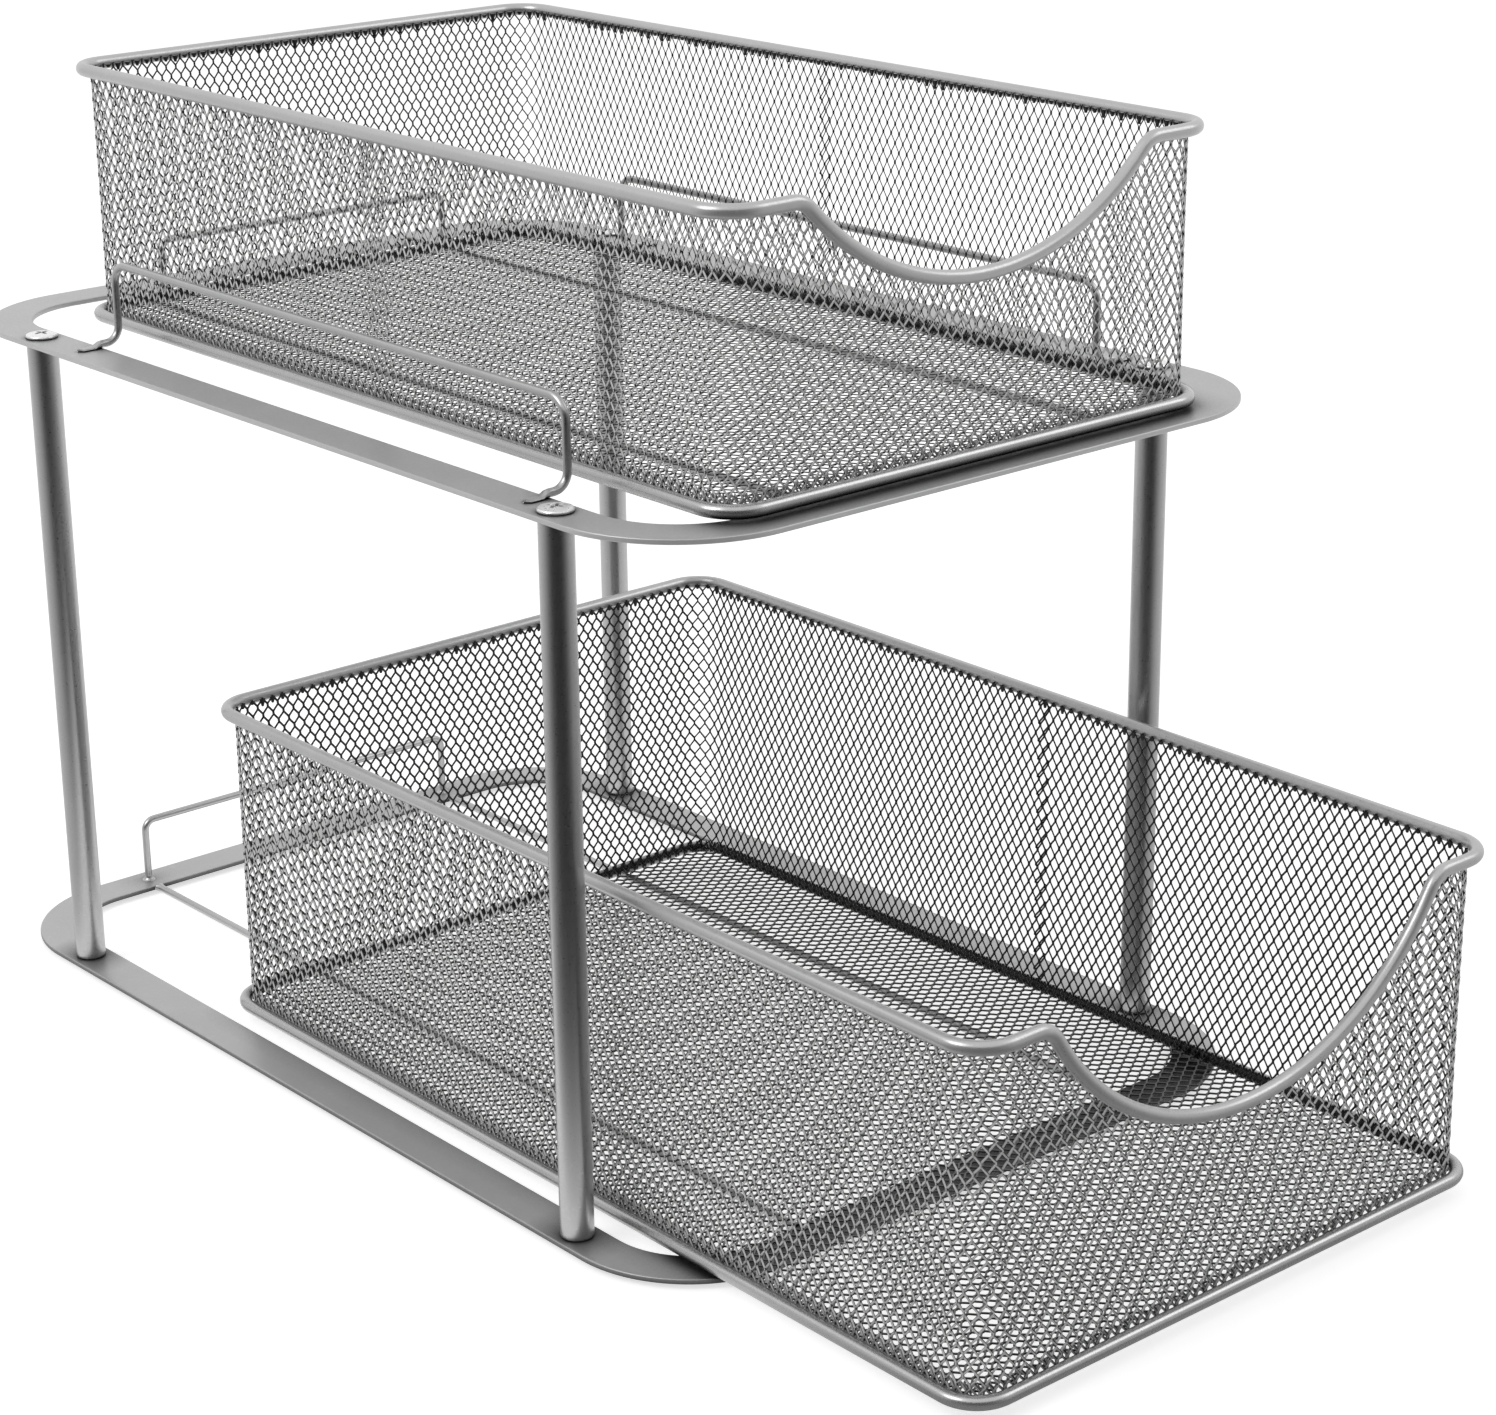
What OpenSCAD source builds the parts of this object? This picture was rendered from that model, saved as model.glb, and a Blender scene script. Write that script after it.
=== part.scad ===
// Two mesh baskets that pull out of a free-standing frame for a cabinet.
// Millimetres. The front faces -Y, up is +Z, and the feet stand on z = 0.
// Each node is one piece of the frame or of a basket.

/* [Frame] */
// Length of each ring from front to back
ring_long = 450; // [420:5:500]
// Width of each ring from side to side
ring_wide = 296; // [292:2:330]
// Outer radius of the rings' corners
ring_corner = 50; // [40:1:60]
// Width of the flat strip that makes a ring
strip_wide = 17; // [16:0.5:20]
// Thickness of the strip
strip_thick = 2; // [1.5:0.25:3]
// Height of the posts between the rings
post_long = 258; // [240:2:340]
// Outer diameter of a post
post_wide = 12; // [11:0.5:14]
// Distance from the ends of a ring to its posts
post_inset = 63; // [57:1:80]

/* [Rails and guards] */
// Diameter of the rail and guard wire
frame_wire = 3; // [2.5:0.25:4]
// Distance between the upper rails
upper_rail_gap = 145; // [120:1:160]
// Distance between the lower rails
lower_rail_gap = 157; // [130:1:170]
// Height of the upper side guards over their ring
side_guard_high = 31.5; // [20:0.5:45]
// Distance from the front posts to the side guards' front legs
guard_front_gap = 14; // [11:1:50]
// Distance from the rear posts to the side guards' rear legs
guard_rear_gap = 31; // [11:1:60]
// Height of the upper back guard over its ring
upper_stop_high = 24; // [16:0.5:40]
// Height of the lower back guard over its ring
lower_stop_high = 27; // [16:0.5:40]

/* [Upper basket] */
// Room between the basket and the side guards' wire
upper_side_room = 9; // [5:0.5:20]
// Length over the wires
upper_long = 395; // [340:1:398]
// Height over the wires
upper_high = 101; // [80:1:140]
// Depth of the scoop in the front rim
upper_scoop = 35; // [25:1:45]
// How far it is pulled out in the rest pose
upper_pull = 5; // [0:1:60]

/* [Lower basket] */
// Room between the basket and the posts
lower_side_room = 8; // [4:0.5:20]
// Length over the wires
lower_long = 427; // [380:1:435]
// Height over the wires
lower_high = 127; // [100:1:170]
// Depth of the scoop in the front rim
lower_scoop = 55; // [35:1:65]
// How far it is pulled out in the rest pose
lower_pull = 131; // [100:1:180]

/* [Basket wire and mesh] */
// Diameter of the rim and base wires
basket_wire = 5; // [4:0.5:6]
// Bend radius of the baskets' corners along the middle of the wire
basket_corner = 14; // [12:1:18]
// How much smaller the radius of the scoops' arc is than half the lower basket
scoop_less = 20.5; // [15:0.5:30]
// Bend radius where a scoop leaves the level rim
scoop_bend = 10; // [8:1:14]
// Thickness of the mesh
mesh_thick = 1; // [0.8:0.1:1.2]
// Width of one mesh cell
cell_wide = 20; // [16:1:30]
// Height of one mesh cell
cell_high = 34; // [28:1:50]
// Width of a mesh strand
strand_wide = 2.2; // [1.5:0.1:3]
// Width of the seam where the mesh overlaps itself in each side wall
seam_wide = 15; // [12:1:20]

/* [Fasteners] */
// Diameter of a screw head
head_wide = 12.4; // [10:0.1:14]
// Height of a screw head
head_high = 2; // [1.5:0.1:3]
// Diameter of a screw shank
shank_wide = 4.8; // [4:0.1:5]
// Length of a screw shank
shank_long = 14; // [10:1:18]
// Length of the threaded plugs in the posts
plug_long = 12; // [8:1:16]

/* [Hidden] */
$fn = 48;

// Clearances and small details
post_wall = 1;          // wall of the post tube
plug_fit = 0.05;        // room round a plug in its post
bore_wide = 5;          // bore of a plug
hole_fit = 0.6;         // how much wider a ring's screw holes are than the shanks
recess_long = 5;        // cross recess in a screw head
recess_wide = 1.1;
recess_deep = 1;
rail_proud = 0.5;       // how far the rails stand over the strip
rail_play = 0.3;        // air between a rail and the basket's base wire
stop_play = 0.5;        // air between a basket pushed home and its stop
guard_inset = 7.5;      // guard wire to the inner edge of the strip
stop_inset = 22;        // the same for the upper back guard
stop_fit = 0.2;         // air between the upper back guard's feet and the rails
guard_bend = 6;         // bend radius at a guard's feet
guard_corner = 8;       // bend radius at a guard's upper corners
stop_corner = 4.5;      // the same on the back guards
pad_long = 9.5;         // flattened and welded end of a guard wire
pad_wide = 4.2;
pad_thick = 0.9;
pad_gap = 1.5;          // inner edge of the strip to the start of a pad
pad_bite = 1;           // how far the round wire reaches into its pad
blob_wide = 6;          // weld round the foot of a lower back guard leg
blob_high = 0.8;
mesh_play = 0.1;        // air between the mesh and the wire in front of it
mesh_edge = 1.8;        // plain border of a mesh panel
bend_swell = 0.1;       // a bend is this much thicker than the straight wire
bite = 0.4;             // how far the straight wire reaches into a bend
least_straight = 2;     // straight wire between the scoop's two kinds of bend

// Levels
lower_top = head_high + strip_thick;
upper_bottom = lower_top + post_long;
upper_top = upper_bottom + strip_thick;

// Places on a ring, measured from its middle
ring_x = ring_wide / 2;
ring_y = ring_long / 2;
post_x = ring_x - strip_wide / 2;
post_reach = ring_y - post_inset;
guard_x = ring_x - strip_wide - guard_inset;
upper_stop_y = ring_y - strip_wide - stop_inset;
lower_stop_y = ring_y - strip_wide / 2;
stop_leg_x = upper_rail_gap / 2 - frame_wire - stop_fit;

// Widths of the baskets over their wires, and the scoops' arc
upper_wide = 2 * (guard_x - frame_wire / 2 - upper_side_room);
lower_wide = 2 * (post_x - post_wide / 2 - lower_side_room);
scoop_round = lower_wide / 2 - scoop_less;

// Wire and mesh radii; the mesh stands inside the wires
mesh_inset = basket_wire / 2 + mesh_play + mesh_thick / 2;
mesh_corner = basket_corner - mesh_inset;

// Height of the base wire's middle over a ring, and the rim's over the base
base_over_ring = rail_proud + rail_play + basket_wire / 2;
upper_rim_z = upper_high - basket_wire;
lower_rim_z = lower_high - basket_wire;

// Middle of each basket along the stand: home is against the stop, less the pull
upper_y = upper_stop_y - frame_wire / 2 - stop_play - upper_long / 2 - upper_pull;
lower_y = lower_stop_y - frame_wire / 2 - stop_play - lower_long / 2 - lower_pull;

// The whole is centred on the origin from its foremost to its rearmost point
front_y = min(-ring_y, lower_y - (lower_long + bend_swell) / 2, upper_y - (upper_long + bend_swell) / 2);
frame_y = -(front_y + ring_y) / 2;

// ---- Bent wire: straight rods with a piece of torus at each bend ----

function unit(v) = v / norm(v);
function spot(points, i) = points[(i + len(points)) % len(points)];
function turn(a, b, c) = acos(max(-1, min(1, unit(b - a) * unit(c - b))));
function trim(a, b, c, radius) = radius * tan(turn(a, b, c) / 2);

module rod(a, b, wide) {
    v = b - a;
    translate(a)
        rotate([0, acos(v[2] / norm(v)), atan2(v[1], v[0])])
        cylinder(h = norm(v), d = wide);
}

// The bend at point b of a wire that comes from a and goes on to c
module elbow(a, b, c, radius, wide) {
    along = unit(b - a);
    onward = unit(c - b);
    across = unit(onward - along * (along * onward));
    up = cross(along, across);
    centre = b - along * trim(a, b, c, radius) + across * radius;
    rows = [for (k = [0 : 2]) [-across[k], along[k], up[k], centre[k]]];
    multmatrix([rows[0], rows[1], rows[2], [0, 0, 0, 1]])
        rotate_extrude(angle = turn(a, b, c))
        translate([radius, 0])
        circle(d = wide);
}

module bent_wire(points, radii, wide, closed = false) {
    n = len(points);
    cut = [for (i = [0 : n - 1]) (closed || (i > 0 && i < n - 1))
        ? trim(spot(points, i - 1), points[i], spot(points, i + 1), radii[i]) : 0];
    for (i = [0 : n - (closed ? 1 : 2)]) {
        way = unit(spot(points, i + 1) - points[i]);
        start = cut[i] > 0 ? cut[i] - bite : 0;
        stop = cut[(i + 1) % n] > 0 ? cut[(i + 1) % n] - bite : 0;
        rod(points[i] + way * start, spot(points, i + 1) - way * stop, wide);
    }
    for (i = [0 : n - 1]) if (cut[i] > 0)
        elbow(spot(points, i - 1), points[i], spot(points, i + 1), radii[i], wide + bend_swell);
}

// ---- Scoop: an arc, a short straight and a bend on either side ----

bend_sum = scoop_round + scoop_bend;
function slope_of(deep) =
    acos((bend_sum - deep) / norm([bend_sum, least_straight])) - atan(least_straight / bend_sum);
// Depth and half width of the two tangents' meeting points
function low_of(deep) = deep + scoop_round * (1 / cos(slope_of(deep)) - 1);
function half_of(deep) = low_of(deep) / tan(slope_of(deep));
// The part of a wall that a scoop takes away, with the rim's middle at y = 0. Its straight
// sides end a little inside the circle, and its upper corners are behind the rim's bends.
module scoop_shape(deep, drop) {
    slope = slope_of(deep);
    outer = scoop_round + drop;
    inside = outer - 0.2;
    low = [inside * sin(slope - 3), scoop_round - deep - inside * cos(slope - 3)];
    corner = [half_of(deep) + drop * tan(slope / 2), -drop];
    translate([0, scoop_round - deep]) circle(r = outer);
    polygon([[-low[0], low[1]], low, corner, [corner[0], 1], [-corner[0], 1], [-corner[0], -drop]]);
}

// ---- Flat shapes ----

module round_plate(wide, long, corner) {
    square([wide - 2 * corner, long], center = true);
    square([wide, long - 2 * corner], center = true);
    for (x = [-1, 1], y = [-1, 1])
        translate([x * (wide / 2 - corner), y * (long / 2 - corner)]) circle(r = corner);
}

module at_posts() {
    for (x = [-post_x, post_x], y = [-post_reach, post_reach]) translate([x, y]) children();
}

// Diamond openings that fill a field with whole cells, half cells along its border
module openings(wide, high, cell_w, cell_h) {
    columns = max(1, round(wide / cell_w));
    rows = max(1, round(high / cell_h));
    w = wide / columns;
    h = high / rows;
    shrink = 1 - strand_wide * norm([w, h]) / (w * h);
    for (i = [0 : 2 * columns], j = [0 : 2 * rows]) if ((i + j) % 2 == 0)
        translate([i * w / 2, j * h / 2])
            scale(shrink)
            polygon([[-w / 2, 0], [0, -h / 2], [w / 2, 0], [0, h / 2]]);
}

// ---- Mesh panels ----

// The floor's diamonds lie with their long way across the basket
module mesh_floor(wide, long) {
    w = wide - basket_wire - 2 * mesh_inset - mesh_thick;
    l = long - basket_wire - 2 * mesh_inset - mesh_thick;
    corner = mesh_corner - mesh_thick / 2;
    translate([0, 0, -mesh_thick / 2]) linear_extrude(mesh_thick) difference() {
        round_plate(w, l, corner);
        intersection() {
            round_plate(w - 2 * mesh_edge, l - 2 * mesh_edge, corner - mesh_edge);
            translate([-w / 2, -l / 2]) openings(w, l, cell_high, cell_wide);
        }
    }
}

// A bordered field of mesh whose lower left corner is at x
module mesh_field(x, wide, tall, cell_w, cell_h) {
    intersection() {
        translate([x + mesh_edge, mesh_edge]) square([wide - 2 * mesh_edge, tall - 2 * mesh_edge]);
        translate([x, 0]) openings(wide, tall, cell_w, cell_h);
    }
}

// A flat side wall: two fields of mesh, and closer cells where the sheets overlap
module mesh_side(long, high) {
    run = long - basket_wire - 2 * basket_corner;
    tall = high + mesh_thick / 2;
    field = (run - seam_wide) / 2;
    rotate([90, 0, 90]) translate([-run / 2, -mesh_thick / 2, -mesh_thick / 2])
        linear_extrude(mesh_thick) difference() {
            square([run, tall]);
            mesh_field(0, field, tall, cell_wide, cell_high);
            mesh_field(field, seam_wide, tall, cell_wide / 2, cell_high / 2);
            mesh_field(field + seam_wide, field, tall, cell_wide, cell_high);
        }
}

// One rounded corner of the mesh, with one column of cells
module mesh_bend(tall) {
    rows = max(1, round(tall / cell_high));
    h = tall / rows;
    half = mesh_corner * sin(36);
    difference() {
        rotate_extrude(angle = 90)
            translate([mesh_corner - mesh_thick / 2, 0])
            square([mesh_thick, tall]);
        for (j = [0 : rows - 1])
            translate([0, 0, (j + 0.5) * h])
                rotate([90, 0, 135])
                linear_extrude(2 * mesh_corner)
                polygon([[-half, 0], [0, 2 * strand_wide - h / 2], [half, 0], [0, h / 2 - 2 * strand_wide]]);
    }
}

// A front or rear wall with its two rounded corners; deep > 0 cuts the scoop
module mesh_end(wide, high, deep) {
    run = wide - basket_wire - 2 * basket_corner;
    tall = high + mesh_thick / 2;
    drop = mesh_play;
    translate([0, 0, -mesh_thick / 2]) {
        rotate([90, 0, 0]) translate([-run / 2, 0, -mesh_thick / 2])
            linear_extrude(mesh_thick) difference() {
                square([run, tall]);
                if (deep > 0) translate([run / 2, tall]) scoop_shape(deep, drop);
                difference() {
                    translate([mesh_edge, mesh_edge])
                        square([run - 2 * mesh_edge, tall - 2 * mesh_edge]);
                    if (deep > 0) translate([run / 2, tall]) scoop_shape(deep, drop + mesh_edge);
                    difference() {
                        square([run, tall]);
                        openings(run, tall, cell_wide, cell_high);
                    }
                }
            }
        translate([-run / 2, mesh_corner, 0]) rotate([0, 0, 180]) mesh_bend(tall);
        translate([run / 2, mesh_corner, 0]) rotate([0, 0, 270]) mesh_bend(tall);
    }
}

// ---- Basket wires ----

module rim(wide, long, deep) {
    x = (wide - basket_wire) / 2;
    y = (long - basket_wire) / 2;
    half = half_of(deep);
    c = basket_corner;
    bent_wire(
        [[-x, -y, 0], [-half, -y, 0], [0, -y, -low_of(deep)], [half, -y, 0], [x, -y, 0], [x, y, 0], [-x, y, 0]],
        [c, scoop_bend, scoop_round, scoop_bend, c, c, c],
        basket_wire, true);
}

module base_frame(wide, long) {
    x = (wide - basket_wire) / 2;
    y = (long - basket_wire) / 2;
    c = basket_corner;
    bent_wire([[-x, -y, 0], [x, -y, 0], [x, y, 0], [-x, y, 0]], [c, c, c, c], basket_wire, true);
}

// Origin of a basket: its middle, at the height of the base wire
module at_upper() {
    translate([0, frame_y + upper_y, upper_top + base_over_ring]) children();
}
module at_lower() {
    translate([0, frame_y + lower_y, lower_top + base_over_ring]) children();
}

// ---- Frame pieces ----

module ring(bottom) {
    color("silver") translate([0, frame_y, bottom]) linear_extrude(strip_thick) difference() {
        round_plate(ring_wide, ring_long, ring_corner);
        round_plate(ring_wide - 2 * strip_wide, ring_long - 2 * strip_wide, ring_corner - strip_wide);
        at_posts() circle(d = shank_wide + hole_fit);
    }
}

module post(x, y) {
    color("gainsboro") translate([x * post_x, frame_y + y * post_reach, lower_top]) difference() {
        cylinder(h = post_long, d = post_wide);
        translate([0, 0, -1]) cylinder(h = post_long + 2, d = post_wide - 2 * post_wall);
    }
}

// Four plugs, with their lower faces at the given height
module plugs(bottom) {
    color("dimgray") translate([0, frame_y, bottom]) at_posts() difference() {
        cylinder(h = plug_long, d = post_wide - 2 * post_wall - 2 * plug_fit);
        translate([0, 0, -1]) cylinder(h = plug_long + 2, d = bore_wide);
    }
}

// A screw with its head's bearing face at z = 0 and the shank pointing down
module screw() {
    bevel = 0.5;
    difference() {
        union() {
            cylinder(h = head_high - bevel, d = head_wide);
            translate([0, 0, head_high - bevel]) cylinder(h = bevel, d1 = head_wide, d2 = head_wide - 2 * bevel);
        }
        for (a = [0, 90]) rotate(a)
            translate([-recess_long / 2, -recess_wide / 2, head_high - recess_deep])
            cube([recess_long, recess_wide, recess_deep + 1]);
    }
    translate([0, 0, -shank_long]) cylinder(h = shank_long, d = shank_wide);
}

module rail(gap, side, top) {
    y = ring_y - strip_wide;
    color("silver") translate([side * gap / 2, frame_y + y, top + rail_proud - frame_wire / 2])
        rotate([90, 0, 0])
        cylinder(h = 2 * y, d = frame_wire);
}

// Flattened end of a guard wire, welded to the strip; it points along +X
module pad() {
    translate([0, -pad_wide / 2]) cube([pad_long - pad_wide / 2, pad_wide, pad_thick]);
    translate([pad_long - pad_wide / 2, 0]) cylinder(h = pad_thick, d = pad_wide);
}

// Side guard of the upper ring on the right; the left one is its mirror image
module side_guard() {
    foot = frame_wire / 2;
    pad_x = ring_x - strip_wide + pad_gap;
    front = guard_front_gap - post_reach;
    rear = post_reach - guard_rear_gap;
    translate([0, frame_y, upper_top]) {
        bent_wire(
            [[pad_x + pad_bite, front, foot], [guard_x, front, foot], [guard_x, front, side_guard_high],
                [guard_x, rear, side_guard_high], [guard_x, rear, foot], [pad_x + pad_bite, rear, foot]],
            [0, guard_bend, guard_corner, guard_corner, guard_bend, 0], frame_wire);
        for (y = [front, rear]) translate([pad_x, y, 0]) pad();
    }
}

// ---- Nodes ----

module lower_ring() { ring(head_high); }
module upper_ring() { ring(upper_bottom); }

module post_front_left() { post(-1, -1); }
module post_front_right() { post(1, -1); }
module post_rear_left() { post(-1, 1); }
module post_rear_right() { post(1, 1); }

module top_screws() {
    color("lightgray") translate([0, frame_y, upper_top]) at_posts() screw();
}
module bottom_screws() {
    color("lightgray") translate([0, frame_y, head_high]) at_posts() mirror([0, 0, 1]) screw();
}
module top_inserts() { plugs(upper_bottom - plug_long); }
module bottom_inserts() { plugs(lower_top); }

module upper_guard_right() { color("silver") side_guard(); }
module upper_guard_left() { color("silver") mirror([1, 0, 0]) side_guard(); }

// The upper stop stands inside the ring, and its feet run back onto the strip
module upper_guard_back() {
    foot = frame_wire / 2;
    x = stop_leg_x;
    y = upper_stop_y;
    pad_y = ring_y - strip_wide + pad_gap;
    color("silver") translate([0, frame_y, upper_top]) {
        bent_wire(
            [[-x, pad_y + pad_bite, foot], [-x, y, foot], [-x, y, upper_stop_high],
                [x, y, upper_stop_high], [x, y, foot], [x, pad_y + pad_bite, foot]],
            [0, guard_bend, stop_corner, stop_corner, guard_bend, 0], frame_wire);
        for (side = [-x, x]) translate([side, pad_y, 0]) rotate(90) pad();
    }
}

// The lower stop stands on the strip itself, on two welds
module lower_guard_back() {
    x = lower_rail_gap / 2;
    y = lower_stop_y;
    color("silver") translate([0, frame_y, lower_top]) {
        bent_wire(
            [[-x, y, 0], [-x, y, lower_stop_high], [x, y, lower_stop_high], [x, y, 0]],
            [0, stop_corner, stop_corner, 0], frame_wire);
        for (side = [-x, x]) translate([side, y, 0])
            cylinder(h = blob_high, d1 = blob_wide, d2 = frame_wire + 1);
    }
}

module upper_rail_left() { rail(upper_rail_gap, -1, upper_top); }
module upper_rail_right() { rail(upper_rail_gap, 1, upper_top); }
module lower_rail_left() { rail(lower_rail_gap, -1, lower_top); }
module lower_rail_right() { rail(lower_rail_gap, 1, lower_top); }

module upper_rim() {
    color("silver") at_upper() translate([0, 0, upper_rim_z]) rim(upper_wide, upper_long, upper_scoop);
}
module upper_base_frame() { color("silver") at_upper() base_frame(upper_wide, upper_long); }
module upper_mesh_floor() { color("darkgray") at_upper() mesh_floor(upper_wide, upper_long); }
module upper_mesh_right() {
    color("darkgray") at_upper()
        translate([(upper_wide - basket_wire) / 2 - mesh_inset, 0, 0]) mesh_side(upper_long, upper_rim_z);
}
module upper_mesh_left() {
    color("darkgray") at_upper()
        translate([mesh_inset - (upper_wide - basket_wire) / 2, 0, 0]) mesh_side(upper_long, upper_rim_z);
}
module upper_mesh_front() {
    color("darkgray") at_upper()
        translate([0, mesh_inset - (upper_long - basket_wire) / 2, 0]) mesh_end(upper_wide, upper_rim_z, upper_scoop);
}
module upper_mesh_back() {
    color("darkgray") at_upper() mirror([0, 1, 0])
        translate([0, mesh_inset - (upper_long - basket_wire) / 2, 0]) mesh_end(upper_wide, upper_rim_z, 0);
}

module lower_rim() {
    color("silver") at_lower() translate([0, 0, lower_rim_z]) rim(lower_wide, lower_long, lower_scoop);
}
module lower_base_frame() { color("silver") at_lower() base_frame(lower_wide, lower_long); }
module lower_mesh_floor() { color("darkgray") at_lower() mesh_floor(lower_wide, lower_long); }
module lower_mesh_right() {
    color("darkgray") at_lower()
        translate([(lower_wide - basket_wire) / 2 - mesh_inset, 0, 0]) mesh_side(lower_long, lower_rim_z);
}
module lower_mesh_left() {
    color("darkgray") at_lower()
        translate([mesh_inset - (lower_wide - basket_wire) / 2, 0, 0]) mesh_side(lower_long, lower_rim_z);
}
module lower_mesh_front() {
    color("darkgray") at_lower()
        translate([0, mesh_inset - (lower_long - basket_wire) / 2, 0]) mesh_end(lower_wide, lower_rim_z, lower_scoop);
}
module lower_mesh_back() {
    color("darkgray") at_lower() mirror([0, 1, 0])
        translate([0, mesh_inset - (lower_long - basket_wire) / 2, 0]) mesh_end(lower_wide, lower_rim_z, 0);
}

lower_ring();
upper_ring();
post_front_left();
post_front_right();
post_rear_left();
post_rear_right();
top_screws();
bottom_screws();
top_inserts();
bottom_inserts();
upper_guard_left();
upper_guard_right();
upper_guard_back();
lower_guard_back();
upper_rail_left();
upper_rail_right();
lower_rail_left();
lower_rail_right();
upper_rim();
upper_base_frame();
upper_mesh_floor();
upper_mesh_left();
upper_mesh_right();
upper_mesh_back();
upper_mesh_front();
lower_rim();
lower_base_frame();
lower_mesh_floor();
lower_mesh_left();
lower_mesh_right();
lower_mesh_back();
lower_mesh_front();
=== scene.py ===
"""Looks of the two mesh baskets and their stand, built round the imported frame.

Every measure is in millimetres, in the frame's own places, unless its comment says
otherwise; finish_mesh() turns them into metres. x is to the right, the front faces -y.
"""
import math

import bpy
import numpy as np
from mathutils import Matrix, Vector


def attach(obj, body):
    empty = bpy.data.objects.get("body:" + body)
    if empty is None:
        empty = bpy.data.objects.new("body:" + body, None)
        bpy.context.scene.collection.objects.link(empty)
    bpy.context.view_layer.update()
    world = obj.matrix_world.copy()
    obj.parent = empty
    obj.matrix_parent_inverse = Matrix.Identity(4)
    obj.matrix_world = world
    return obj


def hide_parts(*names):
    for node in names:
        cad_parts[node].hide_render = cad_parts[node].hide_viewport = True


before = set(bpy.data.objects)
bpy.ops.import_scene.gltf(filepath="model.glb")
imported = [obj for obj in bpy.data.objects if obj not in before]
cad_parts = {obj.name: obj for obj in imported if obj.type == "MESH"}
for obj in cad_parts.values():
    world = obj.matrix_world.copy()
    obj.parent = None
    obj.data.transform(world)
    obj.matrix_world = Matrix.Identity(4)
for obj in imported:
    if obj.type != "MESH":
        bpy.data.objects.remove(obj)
bpy.context.view_layer.update()

MM = 0.001
rng = np.random.default_rng(7)

# ---- Sizes of the stand -------------------------------------------------------

RING_X, RING_Y, RING_CORNER = 148.0, 225.0, 50.0
STRIP_WIDE, STRIP_THICK, STRIP_EDGE = 17.0, 2.0, 0.5
INNER_X, INNER_Y = RING_X - STRIP_WIDE, RING_Y - STRIP_WIDE

# Points this far beside an edge keep what is next to it straight under smooth shading
EDGE_FLAT, POST_FLAT, BORE_FLAT = 0.35, 0.5, 0.3

POST_LONG, POST_R, POST_WALL, POST_EDGE, POST_SIDES = 258.0, 6.0, 1.0, 0.9, 64
POST_X, POST_Y = RING_X - STRIP_WIDE / 2, RING_Y - 63.0
POSTS = {"front_left": (-1, -1), "front_right": (1, -1), "rear_left": (-1, 1), "rear_right": (1, 1)}

# Screws: the head is part of a ball over a round edge, and the recess is a cross of two slots
HEAD_R, HEAD_HIGH, SHANK_R, SHANK_LONG = 6.2, 2.0, 2.4, 14.0
DOME_FOOT, DOME_ROUND, SCREW_SIDES = 0.75, 6.6, 72
DOME_RINGS = (0.0, 0.4, 0.8, 1.2, 1.6, 2.0, 2.4, 2.8, 3.4, 4.2, 5.0, 5.6, 5.9)
HEAD_EDGE = ((6.12, 0.85), (HEAD_R, 0.6), (HEAD_R, 0.25), (6.05, 0.0))
SLOT_HALF, SLOT_REACH, SLOT_DEEP = 0.62, 2.5, 0.9
SCREW_TURNS = (23, 61, 8, 37)

LOWER_TOP = HEAD_HIGH + STRIP_THICK
UPPER_BOTTOM = LOWER_TOP + POST_LONG
UPPER_TOP = UPPER_BOTTOM + STRIP_THICK

# Rails and guards, all of one wire; a guard's flattened foot ends FOOT_REACH over the strip
GUARD_R, GUARD_SIDES = 1.5, 20
RAIL_PROUD, RAIL_WELD, RAIL_WELD_HIGH, RAIL_WELD_RUN = 0.5, 0.75, 0.15, 1.3
RAIL_STEPS = (0, 0.5, 1.0, 1.7, 2.6, 4.0, 20, 60, 110, 160, INNER_Y)
UPPER_GAP, LOWER_GAP = 145.0, 157.0
GUARD_X, GUARD_FRONT, GUARD_REAR, GUARD_HIGH = INNER_X - 7.5, 14.0 - POST_Y, POST_Y - 31.0, 31.5
STOP_X, STOP_Y, STOP_HIGH = UPPER_GAP / 2 - 3.2, INNER_Y - 22.0, 24.0
LOW_STOP_X, LOW_STOP_Y, LOW_STOP_HIGH = LOWER_GAP / 2, RING_Y - STRIP_WIDE / 2, 27.0
FOOT_BEND, GUARD_CORNER, STOP_CORNER = 6.0, 8.0, 4.5
FOOT_REACH, FOOT_LONG, FOOT_RUN, FOOT_TIP = 10.8, 9.6, 3.2, 2.1
FOOT_HALF, FOOT_WIDER, FOOT_BLUNT = 0.5, 0.6, 0.02
LEG_WELD, LEG_WELD_RUN = 1.3, 0.8

# ---- Sizes of the baskets -----------------------------------------------------

WIRE_R, WIRE_CORNER, WIRE_SIDES = 2.5, 14.0, 24
RIM_JOINT, RIM_JOINT_RUN, JOINT_PROUD = 3.0, 6.0, 0.05
BASE_OVER_RING = 0.8 + WIRE_R
HOME_GAP = GUARD_R + 0.5
SCOOP_ROUND, SCOOP_BEND, SCOOP_STRAIGHT = 105.0, 10.0, 2.0
MESH_INSET = 3.1
MESH_CORNER = WIRE_CORNER - MESH_INSET
FLOOR_INSET = MESH_INSET + 0.5


def basket(wide, long, high, stop_y, pull, ring_top, **more):
    """Sizes of a basket that is pulled out this far from the guard wire at stop_y."""
    return dict(wide=wide, long=long, tall=high - 2 * WIRE_R, y=stop_y - HOME_GAP - long / 2 - pull,
                z=ring_top + BASE_OVER_RING, flat_x=wide / 2 - WIRE_R - WIRE_CORNER,
                flat_y=long / 2 - WIRE_R - WIRE_CORNER, **more)


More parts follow.
